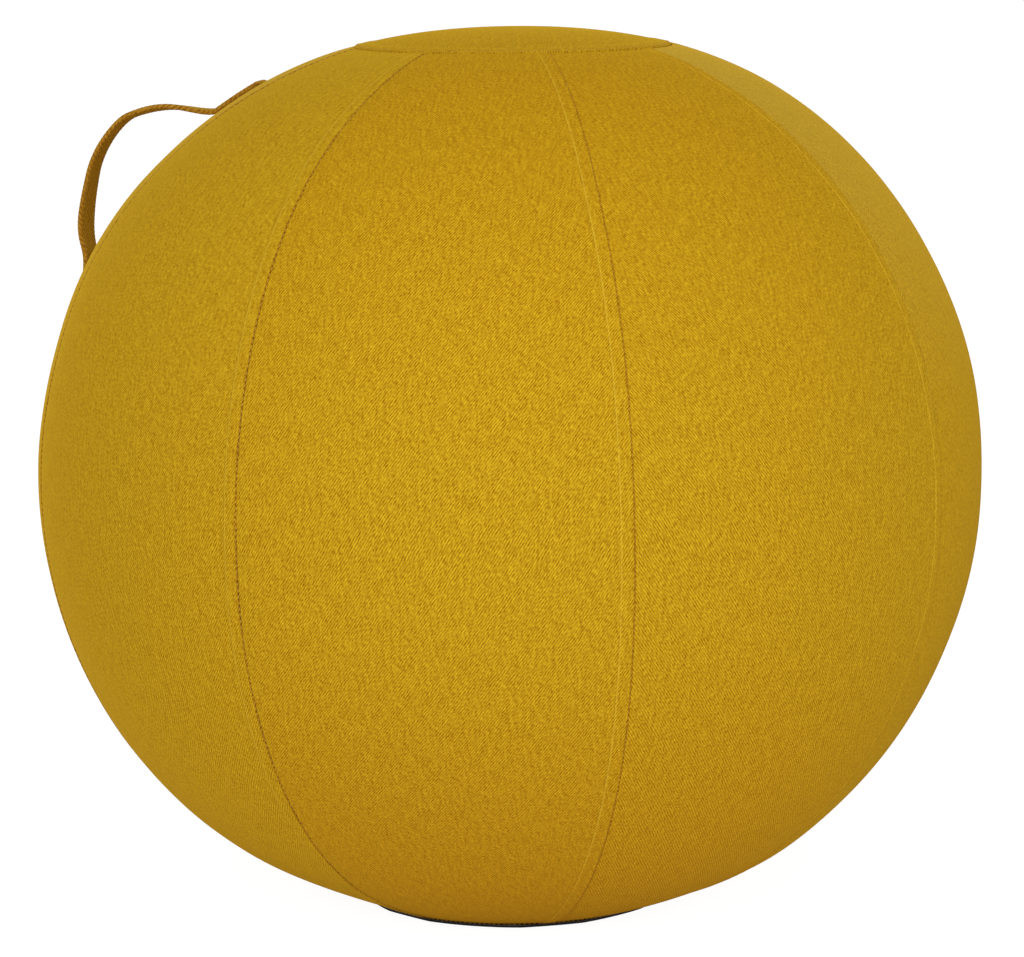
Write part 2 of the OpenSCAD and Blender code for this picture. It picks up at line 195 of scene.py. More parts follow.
def twill(name, dark, light, slant, rib=0.0015, relief=0.0001, ends=(), panel=False):
    """Twill woven from dyed yarn. Its slanting ribs are thick and thin where the yarn is uneven, and its
    upright yarns have slubs 12 mm long: to the eye a sharp slanting grain that comes and goes in upright
    patches. The ribs lie 1.5 mm apart, because the real ones, under 1 mm, are finer than the picture shows.
    Each of its ends has a wash that comes in above or below: painted shade, oranger and darker, where the
    warp is seen along, and a painted sheen, paler, where the nap is seen across. On a panel the cloth has
    painted shade where it dips into a seam, and a painted highlight along the crest where the folded
    allowance ends."""
    sheen = {"Sheen_Weight": 0.5, "Sheen_Roughness": 0.5, "Sheen_Tint": linear("#FFD134")}
    material, tree, shader = surface(name, Roughness=0.9, Specular_IOR_Level=0.05, **sheen)
    calc = partial(add, tree, MATH)
    flat = add(tree, "ShaderNodeUVMap", {"uv_map": "cloth"})
    texture = {"vector_type": "TEXTURE"}
    across = add(tree, "ShaderNodeMapping", texture, flat)
    along = add(tree, "ShaderNodeMapping", texture, flat, Scale=stroke_size)
    for mapping in (across, along):
        mapping.inputs["Rotation"].default_value = Euler((0, 0, -math.radians(slant)))
    upright = add(tree, "ShaderNodeMapping", texture, flat, Scale=slub_size)
    stroke = add(tree, NOISE, None, along, Scale=1.0, Detail=1.0, Roughness=0.6)
    slub = add(tree, NOISE, None, upright, Scale=1.0, Detail=3.0, Roughness=0.7)
    patch = add(tree, NOISE, None, flat, Scale=1 / patch_size, Detail=1.0)
    wander = add(tree, NOISE, None, flat, Scale=1 / wander_size)
    wander = calc("MULTIPLY", wander, wander_turns)
    slanting = add(tree, SPLIT, None, across).outputs[0]
    crest = calc("SINE", calc("MULTIPLY_ADD", slanting, 2 * math.pi / rib, wander))
    rise = calc("MULTIPLY", crest, add(tree, RANGE, None, patch, 0.3, 0.65, 0.08, 0.32))
    tone = calc("ADD", rise, 0.5 - 0.5 * (stroke_weight + slub_weight))
    for part, weight in ((stroke, stroke_weight), (slub, slub_weight)):
        tone = calc("MULTIPLY_ADD", part, weight, tone)
    tone.use_clamp = True
    height = add(tree, SPLIT, None, flat).outputs[1]
    washes = []
    # Painted shade or painted sheen, coming in towards one end of the cloth
    for way, colour, side, most in ends:
        washes.append((way, colour, add(tree, RANGE, None, height, 0.05 * side, 0.40 * side, 0.0, most)))
    relief_map = calc("MULTIPLY", calc("ADD", rise, stroke), relief)
    if panel:
        smooth = {"interpolation_type": "SMOOTHSTEP"}
        fold = add(tree, SPLIT, None, add(tree, "ShaderNodeUVMap", {"uv_map": "fold"})).outputs
        # Painted shade where the cloth dips into a seam, and a painted highlight along the crest where the
        # folded allowance ends
        shade = add(tree, RANGE, smooth, fold[1], 0.0001, seam_shade_w, 0.65, 0.0)
        from_crest = calc("ABSOLUTE", calc("SUBTRACT", fold[0], allowance_w - crest_in))
        painted_crest_highlight = add(tree, RANGE, smooth, from_crest, 0.0001, crest_w, 0.36, 0.0)
        washes += [("MULTIPLY", "#B88428", shade), ("MIX", "#F2CC40", painted_crest_highlight)]
        inner, outer = allowance_w - fold_edge_w, allowance_w + fold_edge_w
        lift = add(tree, RANGE, smooth, fold[0], inner, outer, allowance_lift, 0.0)
        relief_map = calc("ADD", relief_map, lift)
    blended(tree, shader, tone, dark, light, washes)
    raised(tree, shader, relief_map, 1.0, 1.0)
    return material


def grained(name, dark, light, size, relief, roughness, strength=0.4, metallic=0.0):
    """A surface with an even grain pressed, cast or worn into it, and a tone that drifts a little."""
    material, tree, shader = surface(name, Metallic=metallic)
    place = add(tree, "ShaderNodeTexCoord").outputs["Object"]
    grain = add(tree, NOISE, None, place, Scale=1 / size, Detail=4.0, Roughness=0.6)
    drift = add(tree, NOISE, None, place, Scale=1 / (24 * size), Detail=3.0)
    share = add(tree, MATH, {"operation": "MULTIPLY_ADD", "use_clamp": True}, grain, 0.7)
    tree.links.new(add(tree, MATH, "MULTIPLY_ADD", drift, 1.1, -0.4).outputs[0], share.inputs[2])
    blended(tree, shader, share, dark, light)
    raised(tree, shader, grain, strength, relief)
    rough = add(tree, MATH, "MULTIPLY_ADD", grain, 0.16, roughness - 0.08)
    tree.links.new(rough.outputs[0], shader.inputs["Roughness"])
    return material


def ribbed_tape(name, dark, light, rib=0.0008):
    """Zip tape woven from polyester: fine ribs across its length, and a faint shine."""
    material, tree, shader = surface(name, Roughness=0.7, Specular_IOR_Level=0.3)
    place = add(tree, SPLIT, None, add(tree, "ShaderNodeUVMap", {"uv_map": "cloth"}))
    weft = add(tree, MATH, "SINE", add(tree, MATH, "MULTIPLY", place.outputs[0], 2 * math.pi / rib))
    warp = add(tree, MATH, "SINE", add(tree, MATH, "MULTIPLY", place.outputs[1], 2 * math.pi / (0.7 * rib)))
    weave = add(tree, MATH, "MULTIPLY_ADD", weft, 0.3, add(tree, MATH, "MULTIPLY_ADD", warp, 0.2, 0.5))
    blended(tree, shader, weave, dark, light)
    raised(tree, shader, weave, 0.5, 0.0001)
    return material


mustard = ("#9A6804", "#E6C026")
# Painted shade, oranger and darker, at the crown and the bottom, and a painted sheen, paler, at the crown
painted_shade_ends = ("MULTIPLY", "#FDF0C1", 1, 1.0), ("MULTIPLY", "#FCEADD", -1, 1.0)
painted_sheen_end = (("MIX", "#E2CE7C", 1, 0.17),)
rising = twill("mustard cotton twill, ribs rising", *mustard, 36, panel=True)
rising_painted_shade = twill("mustard cotton twill, painted shade at crown and bottom", *mustard, 36, ends=painted_shade_ends, panel=True)
rising_painted_sheen = twill("mustard cotton twill, painted sheen at the crown", *mustard, 36, ends=painted_sheen_end, panel=True)
falling_painted_shade = twill("mustard cotton twill, ribs falling", *mustard, -35, ends=painted_shade_ends, panel=True)
# The top panel's twill is the mustard twill made a little darker, most in blue: painted shade
crown_cloth = twill("mustard cotton twill of the top panel", "#916204", "#E0B51E", 12)
# The strap's twill is a darker, redder copy of the cover's: painted shade for the shade the strap lies in
strap_cloth = twill("folded mustard twill of the strap", "#7E4E14", "#CC9A2E", 42, rib=0.0025, relief=0.0004)
sewing_thread = grained("spun polyester sewing thread", "#B4881A", "#D8AE34", 0.0004, 0.0001, 0.7)
band_leather = grained("black imitation leather, rolled", "#040304", "#1A171B", 0.0009, 0.00012, 0.34)
grip_sheet = grained("calendered non-slip PVC sheet", "#141416", "#26262A", 0.0012, 0.0001, 0.55)
grip_dots = grained("moulded PVC grip dots", "#1B1B1E", "#2C2C31", 0.0006, 0.00008, 0.5)
felt = grained("needled grey felt", "#2E2B2E", "#55505A", 0.0016, 0.0006, 0.92, strength=0.9)
steel = grained("hot-rolled steel plate", "#4A4C50", "#85888C", 0.0035, 0.00008, 0.5, metallic=1.0)
ball_vinyl = grained("soft moulded PVC of the inflated ball", "#80858C", "#9EA3A9", 0.0022, 0.00006, 0.38)
valve_vinyl = grained("moulded PVC valve seat", "#686D74", "#7F848B", 0.001, 0.00005, 0.42)
plug_plastic = grained("injection-moulded polyethylene plug", "#DDD9CF", "#F0EDE6", 0.0011, 0.00004, 0.4)
acetal = grained("moulded acetal zip teeth", "#7C5D0E", "#A07C18", 0.0007, 0.00003, 0.35)
plating = {"strength": 0.15, "metallic": 1.0}
nickel = grained("nickel-plated zinc casting", "#B9B6AE", "#D6D3CB", 0.0015, 0.00002, 0.24, **plating)
tape_weave = ribbed_tape("woven mustard zip tape", "#8F6B0C", "#BE951C")

# Meshes


def run_along(line):
    """How far along a line of points each one lies."""
    return np.concatenate([[0], np.cumsum(np.linalg.norm(np.diff(line, axis=0), axis=1))])


def put(name, data):
    """A new object in the scene that holds this data."""
    obj = bpy.data.objects.new(name, data)
    bpy.context.scene.collection.objects.link(obj)
    return obj


def plain(name, points, faces, uv, material, sharp=60):
    """A mesh piece from its points, its faces and a UV pair for each face corner, in metres of cloth."""
    mesh = bpy.data.meshes.new(name)
    mesh.from_pydata([tuple(p) for p in points], [], [tuple(f) for f in faces])
    mesh.uv_layers.new(name="cloth").data.foreach_set("uv", np.asarray(uv, np.float32).ravel())
    mesh.materials.append(material)
    mesh.shade_smooth()
    mesh.set_sharp_from_angle(angle=math.radians(sharp))
    return put(name, mesh)


def lathe(
    name, outline, material, first=0.0, last=360.0, columns=240, wobble=None, from_above=False, sharp=60
):
    """A closed piece turned from a closed outline of radius and height, listed with its inside on the left.
    wobble gives a change of radius at each turn, and from_above lays the UVs out as seen from above."""
    outline = np.asarray(outline, float)
    whole = last - first >= 360
    degrees = np.linspace(first, last, columns + 1)
    stops = columns if whole else columns + 1
    spread = 0 if wobble is None else wobble(degrees)
    run = run_along(np.vstack([outline, outline[:1]]))
    points, index = [], np.zeros((len(outline), columns + 1), int)
    for i, (radius, height) in enumerate(outline):
        pole = radius < 1e-6
        ring = turned_round(np.stack([radius + spread + 0 * degrees, height + 0 * degrees], -1), degrees)
        ring = [(0, 0, height)] if pole else ring[:stops]
        index[i] = len(points) + (0 if pole else np.arange(columns + 1) % stops)
        points += [tuple(p) for p in ring]
    widest = outline[:, 0].max()
    faces, uv = [], []
    for i in range(len(outline)):
        k = (i + 1) % len(outline)
        if max(outline[i, 0], outline[k, 0]) < 1e-6:
            continue
        for j in range(columns):
            corners = {}
            for row, col, at in ((i, j, i), (i, j + 1, i), (k, j + 1, i + 1), (k, j, i + 1)):
                corners.setdefault(index[row, col], (widest * math.radians(degrees[col]), run[at]))
            faces.append(list(corners))
            uv += [points[c][:2] for c in corners] if from_above else list(corners.values())
    if not whole:
        faces += [index[::-1, 0], index[:, columns]]
        uv += [tuple(p) for p in outline[::-1]] + [tuple(p) for p in outline]
    return plain(name, points, faces, uv, material, sharp)


def grown(name, tree, sizes, base=None, wall=0.0):
    """What a node tree makes, as a plain piece. Its inputs are set by identifier before it is evaluated."""
    source = put(name + "_source", base or bpy.data.meshes.new(name))
    nodes = source.modifiers.new("nodes", "NODES")
    nodes.node_group = tree
    for item in tree.interface.items_tree:
        if item.name in sizes:
            nodes[item.identifier] = sizes[item.name]
    if wall:
        cloth = source.modifiers.new("cloth", "SOLIDIFY")
        cloth.thickness, cloth.offset = wall, -1
    graph = bpy.context.evaluated_depsgraph_get()
    seen = source.evaluated_get(graph)
    mesh = bpy.data.meshes.new_from_object(seen, preserve_all_data_layers=True, depsgraph=graph)
    bpy.data.objects.remove(source)
    return put(name, mesh)


def new_tree(name, numbers, *others):
    """An empty geometry tree with its named inputs, geometry first, and one output."""
    tree = bpy.data.node_groups.new(name, "GeometryNodeTree")
    for label, kind in (*others, *((label, "Float") for label in numbers.split(", "))):
        tree.interface.new_socket(label, in_out="INPUT", socket_type="NodeSocket" + kind)
    tree.interface.new_socket("Piece", in_out="OUTPUT", socket_type="NodeSocketGeometry")
    return tree, add(tree, "NodeGroupInput").outputs


def finish_tree(tree, shape, material):
    """Real geometry, smooth and in its material, as the tree's output."""
    real = add(tree, "GeometryNodeRealizeInstances", None, shape)
    smooth = add(tree, "GeometryNodeSetShadeSmooth", None, real)
    add(tree, "NodeGroupOutput", None, add(tree, "GeometryNodeSetMaterial", None, smooth, None, material))
    return tree


# How far a seam draws the cloth in, and half the width of the step where the folded allowance ends
draw_reach, fold_half = 0.006, 0.0009
# Puckers: their length along the seam, their slant away from it, and how far they reach
pucker_long, pucker_slant, pucker_reach = 0.0074, 0.011, 0.0048
# How much the cloth gives between its seams, and the ditch that is left at a seam
cloth_give, ditch = 0.0008, 0.00001


def gore_tree():
    """One tall panel: a grid laid on the ball's outline between two seams. Its edges roll in, the folded
    allowance lifts a strip beside its last seam, and small puckers run off every seam."""
    numbers = (
        "Widest radius, Crown height, Crown power, Belly depth, Belly power, Widest height, Low angle, "
        "Top angle, Middle, Half sweep, Edge roll, Seam draw, Allowance width, Allowance lift, Pucker, Seed"
    )
    others = ("Columns", "Int"), ("Rows", "Int"), ("Cloth", "Material")
    tree, given = new_tree("tall cover panel", numbers, *others)
    calc = partial(add, tree, MATH)
    grid = add(tree, "GeometryNodeMeshGrid", None, 1.0, 1.0, given["Columns"], given["Rows"])
    uv = add(tree, SPLIT, None, grid.outputs["UV Map"])
    # Columns and rows draw closer together towards the seams
    side = calc("SINE", calc("MULTIPLY_ADD", uv.outputs[0], math.pi, -math.pi / 2))
    even = calc("MULTIPLY_ADD", uv.outputs[1], 0.5, 0.25)
    rise = calc("COSINE", calc("MULTIPLY", uv.outputs[1], math.pi))
    rise = calc("MULTIPLY_ADD", rise, -0.25, even)
    angle = add(tree, RANGE, None, rise, 0.0, 1.0, given["Low angle"], given["Top angle"])
    # The outline's point and the direction that faces out of it
    below = calc("LESS_THAN", angle, 0.0)
    power = add(tree, RANGE, None, below, 0.0, 1.0, given["Crown power"], given["Belly power"])
    tall = add(tree, RANGE, None, below, 0.0, 1.0, given["Crown height"], given["Belly depth"])
    exponent = calc("DIVIDE", 2.0, power)
    steep = calc("SUBTRACT", power, 1.0)
    sign = calc("SIGN", angle)
    share_r = calc("POWER", calc("COSINE", angle), exponent)
    share_z = calc("POWER", calc("ABSOLUTE", calc("SINE", angle)), exponent)
    radius = calc("MULTIPLY", share_r, given["Widest radius"])
    above = calc("MULTIPLY", share_z, tall)
    height = calc("MULTIPLY_ADD", above, sign, given["Widest height"])
    out_r = calc("DIVIDE", calc("POWER", share_r, steep), given["Widest radius"])
    out_z = calc("DIVIDE", calc("MULTIPLY", calc("POWER", share_z, steep), sign), tall)
    out = add(tree, SPLIT, None, add(tree, VECTOR, "NORMALIZE", add(tree, JOIN, None, out_r, 0.0, out_z)))
    # Distances on the cloth: to each seam, to the nearest edge, and up the panel
    half = calc("MULTIPLY", radius, given["Half sweep"])
    to_last = calc("MULTIPLY", half, calc("SUBTRACT", 1.0, side))
    to_first = calc("MULTIPLY", half, calc("ADD", 1.0, side))
    mean_r = calc("MULTIPLY", calc("ADD", given["Widest radius"], given["Crown height"]), 0.5)
    run = calc("MULTIPLY", angle, mean_r)
    to_top = calc("SUBTRACT", calc("MULTIPLY", given["Top angle"], mean_r), run)
    to_low = calc("SUBTRACT", run, calc("MULTIPLY", given["Low angle"], mean_r))
    to_seam = calc("MINIMUM", to_last, to_first)
    nearest = calc("MINIMUM", to_seam, calc("MINIMUM", to_top, to_low))
    # The edge rolls in as a quarter of a circle, and the seam draws in the cloth round it
    inside = add(tree, RANGE, None, nearest, 0.0, given["Edge roll"], 1.0, 0.0)
    arc = calc("SQRT", calc("SUBTRACT", 1.0, calc("MULTIPLY", inside, inside)))
    roll = calc("MULTIPLY", calc("SUBTRACT", arc, 1.0), given["Edge roll"])
    draw = calc("EXPONENT", calc("MULTIPLY", nearest, -1 / draw_reach))
    draw = calc("MULTIPLY", draw, calc("MULTIPLY", given["Seam draw"], -1.0))
    fold_out = calc("ADD", given["Allowance width"], fold_half)
    fold_in = calc("SUBTRACT", given["Allowance width"], fold_half)
    smooth = {"interpolation_type": "SMOOTHSTEP"}
    lift = add(tree, RANGE, smooth, to_last, fold_out, fold_in, 0.0, given["Allowance lift"])
    # Puckers: short slanting waves that fade away from the seam, and come and go along it
    here = add(tree, JOIN, None, run, calc("MULTIPLY", side, 0.02), given["Seed"])
    come = add(tree, NOISE, None, here, Scale=22.0, Detail=1.0)
    drift = add(tree, NOISE, None, here, Scale=60.0, Detail=1.0)
    drift = calc("MULTIPLY", drift, 9.0)
    phase = calc("MULTIPLY_ADD", run, 2 * math.pi / pucker_long, drift)
    phase = calc("MULTIPLY_ADD", to_seam, -2 * math.pi / pucker_slant, phase)
    fade = calc("EXPONENT", calc("MULTIPLY", to_seam, -1 / pucker_reach))
    fade = calc("MULTIPLY", fade, add(tree, RANGE, None, come, 0.35, 0.7, 0.2, 1.6))
    pucker = calc("MULTIPLY", calc("MULTIPLY", calc("SINE", phase), fade), given["Pucker"])
    # The cloth gives a little between its seams
    cloth_at = add(tree, JOIN, None, calc("MULTIPLY", half, side), run, given["Seed"])
    ease = add(tree, NOISE, None, cloth_at, Scale=14.0, Detail=1.0)
    ease = calc("MULTIPLY_ADD", ease, cloth_give, -cloth_give / 2)
    stand = roll
    for part in (draw, lift, pucker, ease):
        stand = calc("ADD", stand, part)
    # Onto the ball
    radius = calc("MULTIPLY_ADD", out.outputs[0], stand, radius)
    height = calc("MULTIPLY_ADD", out.outputs[2], stand, height)
    turn = calc("MULTIPLY_ADD", side, given["Half sweep"], given["Middle"])
    x = calc("MULTIPLY", radius, calc("COSINE", turn))
    y = calc("MULTIPLY", radius, calc("SINE", turn))
    placed = add(tree, "GeometryNodeSetPosition", None, grid, Position=add(tree, JOIN, None, x, y, height))
    layer = {"data_type": "FLOAT2", "domain": "CORNER"}
    mapped = add(tree, "GeometryNodeStoreNamedAttribute", layer, placed, Name="cloth", Value=cloth_at)
    edges = add(tree, JOIN, None, to_last, nearest)
    mapped = add(tree, "GeometryNodeStoreNamedAttribute", layer, mapped, Name="fold", Value=edges)
    return finish_tree(tree, mapped, given["Cloth"])


def stitch_tree():
    """Stitches along a seam line: at every pitch a short thread, a little uneven."""
    others = ("Seam line", "Geometry"), ("Seed", "Int"), ("Yarn", "Material")
    tree, given = new_tree("row of stitches", "Pitch, Stitch, Thread", *others)
    line = add(tree, "GeometryNodeMeshToCurve", None, given["Seam line"])
    spaced_out = add(tree, "GeometryNodeResampleCurve", {"mode": "LENGTH"}, line, Length=given["Pitch"])
    thread = add(tree, "GeometryNodeMeshUVSphere", None, 7, 5, 0.5)
    uneven = add(tree, "FunctionNodeRandomValue", {"data_type": "FLOAT"})
    uneven.inputs[2].default_value, uneven.inputs[3].default_value = 0.85, 1.12
    tree.links.new(given["Seed"], uneven.inputs["Seed"])
    length = add(tree, MATH, "MULTIPLY", given["Stitch"], uneven.outputs[1])
    size = add(tree, JOIN, None, given["Thread"], given["Thread"], length)
    tangent = add(tree, "GeometryNodeInputTangent")
    way = add(tree, "FunctionNodeAlignRotationToVector", {"axis": "Z"}, Vector=tangent)
    each = {"Instance": thread, "Rotation": way, "Scale": size}
    row = add(tree, "GeometryNodeInstanceOnPoints", None, spaced_out, **each)
    return finish_tree(tree, row, given["Yarn"])


def dot_tree():
    """Grip dots on a flat disc: low round studs in staggered rows, as far out as the reach."""
    numbers = "Spacing, Dot radius, Dot height, Reach"
    tree, given = new_tree("field of grip dots", numbers, ("Stuff", "Material"))
    calc = partial(add, tree, MATH)
    wide = calc("MULTIPLY", given["Reach"], 2.0)
    row_gap = calc("MULTIPLY", given["Spacing"], math.sqrt(3) / 2)
    gaps = given["Spacing"], row_gap
    counts = [calc("FLOOR", calc("DIVIDE", wide, gap)) for gap in gaps]
    grid = add(tree, "GeometryNodeMeshGrid", None, wide, wide, *counts)
    place = add(tree, SPLIT, None, add(tree, "GeometryNodeInputPosition"))
    row_step = calc("DIVIDE", wide, calc("SUBTRACT", counts[1], 1.0))
    row = calc("ROUND", calc("DIVIDE", place.outputs[1], row_step))
    shift = calc("MULTIPLY", calc("PINGPONG", row, 1.0), given["Spacing"])
    offset = add(tree, JOIN, None, calc("MULTIPLY", shift, 0.5), 0.0, 0.0)
    staggered = add(tree, "GeometryNodeSetPosition", None, grid, Offset=offset)
    from_middle = add(tree, VECTOR, "LENGTH", add(tree, "GeometryNodeInputPosition")).outputs["Value"]
    too_far = calc("GREATER_THAN", from_middle, given["Reach"])
    kept = add(tree, "GeometryNodeDeleteGeometry", None, staggered, too_far)
    foot = calc("MULTIPLY", given["Dot radius"], 0.7)
    stud = add(tree, "GeometryNodeMeshCone", None, 10, 1, 1, foot, given["Dot radius"], given["Dot height"])
    field = add(tree, "GeometryNodeInstanceOnPoints", None, kept, Instance=stud)
    return finish_tree(tree, field, given["Stuff"])


gore, stitches, dots = gore_tree(), stitch_tree(), dot_tree()


def sewn(name, lines, stitch, seed):
    """Rows of stitches of one kind along those lines of points, as one piece."""
    mesh, points, edges = bpy.data.meshes.new(name), [], []
    for line in lines:
        edges += [(len(points) + i, len(points) + i + 1) for i in range(len(line) - 1)]
        points += [tuple(p) for p in line]
    mesh.from_pydata(points, edges, [])
    sizes = {"Seed": seed, "Yarn": sewing_thread, **dict(zip(("Pitch", "Stitch", "Thread"), stitch))}
    return grown(name, stitches, sizes, mesh)


# How the stuffed cover really sits: its crown leans, and a few broad spots stand proud, lie low or are
# dragged round. Each spot has its turn and latitude, millimetres outwards, millimetres round the ball, and
# its reach in degrees.
crown_lean = (0.0055, -0.005, 0)
spots = [
    (0, 90, -1.5, 0, 14), (190, 42, -2.3, 0, 10), (194, 18, -1.9, 0, 7), (197, 1, 1.0, 0, 8),
    (201, -22, -1.0, 0, 9), (228, -63, -2.3, 0, 6), (270, -52, 0, -3.3, 15), (344, -53, 2.1, 0, 6),
    (357, -22, -2.1, 0, 11), (6, 29, -1.6, 0, 9), (11, 61, 0.9, 0, 9), (188, 66, 0.9, 0, 8),
    (337, 58, 0, -3.5, 14), (337, 0, 0, 6.5, 22),
]


def smooth_step(value, low, high):
    share = np.clip((value - low) / (high - low), 0, 1)
    return share * share * (3 - 2 * share)


def settled(points):
    """Points of the cover as it really sits. Close to the base, and well off the ball, nothing moves."""
    points = np.asarray(points, float)
    way = points - [0, 0, widest_z]
    far = np.linalg.norm(way, axis=1)
    out = way / far[:, None]
    radius, rise = np.hypot(way[:, 0], way[:, 1]), np.abs(way[:, 2])
    power = np.where(way[:, 2] < 0, belly_power, crown_power)
    tall = np.where(way[:, 2] < 0, belly_h, crown_h)
    size = ((radius / ball_r) ** power + (rise / tall) ** power) ** (1 / power)
    off_ball = smooth_step((1 - 1 / size) * far, 0.005, 0.025)
    hold = (1 - off_ball) * smooth_step(points[:, 2], edge_z, edge_z + 0.007)
    round_it = np.stack([-way[:, 1], way[:, 0], 0 * rise], -1) / np.maximum(radius, 0.001)[:, None]
    latitude = np.degrees(np.arcsin(out[:, 2]))
    move = smooth_step(latitude, 36, 72)[:, None] * crown_lean
    for turn, level, push, drag, reach in spots:
        a, b = math.radians(turn), math.radians(level)
        spot = (math.cos(b) * math.cos(a), math.cos(b) * math.sin(a), math.sin(b))
        near = np.exp(-0.5 * (np.arccos(np.clip(out @ spot, -1, 1)) / math.radians(reach)) ** 2)
        move = move + near[:, None] * (push * out + drag * round_it) / 1000
    return points + hold[:, None] * move


def settle(piece):
    """Moves a whole piece as the cover sits."""
    points = np.empty(3 * len(piece.data.vertices))
    piece.data.vertices.foreach_get("co", points)
    piece.data.vertices.foreach_set("co", settled(points.reshape(-1, 3)).ravel())
    piece.data.update()
    return piece


def belongs(piece, slot, *nodes):
    """The piece rides on the ball and stands for those nodes, which are hidden. Its slot is not used."""
    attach(piece, "ball")
    if nodes:
        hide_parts(*nodes)
    return piece


def spaced(line, step):
    """The same line with its points an even step apart."""
    run = run_along(line)
    at = np.linspace(0, run[-1], max(2, round(run[-1] / step) + 1))
    return np.stack([np.interp(at, run, line[:, i]) for i in range(line.shape[1])], -1)


def softened(line, step, reach):
    """The line with its corners rounded, as folded cloth rounds them."""
    fine = spaced(line, step)
    half = round(3 * reach / step)
    bell = np.exp(-0.5 * (np.arange(-half, half + 1) * step / reach) ** 2)
    before = 2 * fine[0] - fine[half:0:-1]
    after = 2 * fine[-1] - fine[-2 : -half - 2 : -1]
    long = np.vstack([before, fine, after])
    return np.stack([np.convolve(long[:, i], bell / bell.sum(), "valid") for i in range(2)], -1)


# The cover


def low_radius(k):
    """Where a tall panel ends at the bottom: at the base, or behind it at the zip."""
    return zip_r + zip_reach * math.cos(zip_slope) if k in zip_panels else base_r


# Two pairs of panels have painted shade at the crown and the bottom, with one of each cut the other way, and
# one pair a painted sheen at the crown
panel_cloths = {
    1: rising_painted_sheen, 3: rising_painted_shade, 4: falling_painted_shade,
    5: rising_painted_sheen, 7: rising_painted_shade, 8: falling_painted_shade,
}


def cover_panel(k):
    """One of the eight tall panels."""
    low = low_radius(k)
    sizes = {
        "Widest radius": ball_r, "Crown height": crown_h, "Crown power": crown_power,
        "Belly depth": belly_h, "Belly power": belly_power, "Widest height": widest_z,
        "Low angle": math.radians(belly_angle(low)), "Top angle": math.radians(top_angle),
        "Middle": math.radians((k - 1) * panel_deg), "Half sweep": sweep / 2 - ditch / 2 / ball_r,
        "Edge roll": 0.0005, "Seam draw": 0.0003, "Pucker": 0.00015, "Seed": 3.7 * k,
        "Allowance width": allowance_w, "Allowance lift": allowance_lift,
        "Columns": 57, "Rows": 400, "Cloth": panel_cloths.get(k, rising),
    }
    panel = settle(grown(f"cover_panel_{k}", gore, sizes, wall=cloth_t))
    belongs(panel, "cover_cloth", f"panel_{k}")


def cover_top():
    """The round top panel: its edge rolls down into the ring seam, and its folded allowance lifts a rim."""
    # Millimetres in from the seam, and out from the outline
    rim = [(0, -0.6), (0.2, -0.2), (0.6, 0), (1.1, 0.2), (2, 0.4), (4, 0.5), (6.5, 0.5), (8.5, 0.5)]
    rim += [(9.5, 0.2), (11, 0)]
    per_degree = metres_per_degree(top_angle)
    start = top_angle + 0.00045 / per_degree
    outer = [skin(start + run / 1000 / per_degree, -lift / 1000) for run, lift in rim]
    outer += list(skin(np.linspace(start + rim[-1][0] / 1000 / per_degree, 90, 26)[1:]))
    inner = skin(np.linspace(90, start, 30), cloth_t)
    outline = np.vstack([outer, inner])
    outline[len(outer) - 1 : len(outer) + 1, 0] = 0
    panel = settle(lathe("cover_top_panel", outline, crown_cloth, columns=360, from_above=True))
    belongs(panel, "cover_cloth", "top_panel")


def cover_threads():
    """Threads that show in the ditches between panels, and rows sewn beside the top ring and the base."""
    seams = []
    for k in range(1, panel_count + 1):
        low = max(low_radius(k), low_radius(k % panel_count + 1))
        line = skin(np.linspace(belly_angle(low) + 0.4, top_angle - 0.3, 240), thread_sunk)
        seams.append(turned_round(line, (k - 0.5) * panel_deg))
    ring = skin(top_angle + ring_row / metres_per_degree(top_angle), -0.00045)
    ring = round_row(ring, 0, 360, 721)
    edge = skin(belly_angle(base_r + hem_row), -0.0002)
    edge = round_row(edge, zip_to + 1, zip_from + 359, 500)
    belongs(settle(sewn("seam_threads", seams, seam_stitch, 4)), "cover_cloth")
    belongs(settle(sewn("top_ring_stitches", [ring], ring_stitch, 5)), "cover_cloth")
    belongs(settle(sewn("base_edge_stitches", [edge], hem_stitch, 8)), "cover_cloth")


# The handle

lie = -strap_t / 2 - seat_gap
low_angle, high_angle = crown_angle_at(handle_low), crown_angle_at(handle_high)
low_root, high_root = skin(low_angle, lie), skin(high_angle, lie)
span = float(np.hypot(*(high_root - low_root)))
along = (high_root - low_root) / span
away = np.array([along[1], -along[0]])
axis_at = Vector((-low_root[0], 0, low_root[1]))
axis = Vector((-along[0], 0, along[1]))
axis_away = Vector((-away[0], 0, away[1]))
# Handles of the loop's three curves: share of the span, share of the rise
loop_shape = [
    (0, 0), (0.17, 0.305), (0.035, 0.315), (0.395, 0.87),
    (0.52, 1.055), (0.675, 1.025), (0.725, 0.94),
    (0.91, 0.6), (0.92, 0.285), (1, 0),
]
# The step along the drawn strap, how far from its roots it bends, and how far it leans over
strap_step, root_reach, lean = 0.0008, 0.012, math.radians(-1.5)
# How much the stitches pinch the strap's edges, its sewn channels' depth and half width, and its swell
strap_pinch, channel_deep, channel_half, strap_swell = 0.05, 0.0004, 0.0007, 0.00012
end_thinning = 0.0026


def patch_run(angle, way):
    """The strap's line where it is sewn flat to the cover, from its root outwards."""
    return skin(np.linspace(angle, angle + way * patch_len / metres_per_degree(angle), 40), lie)


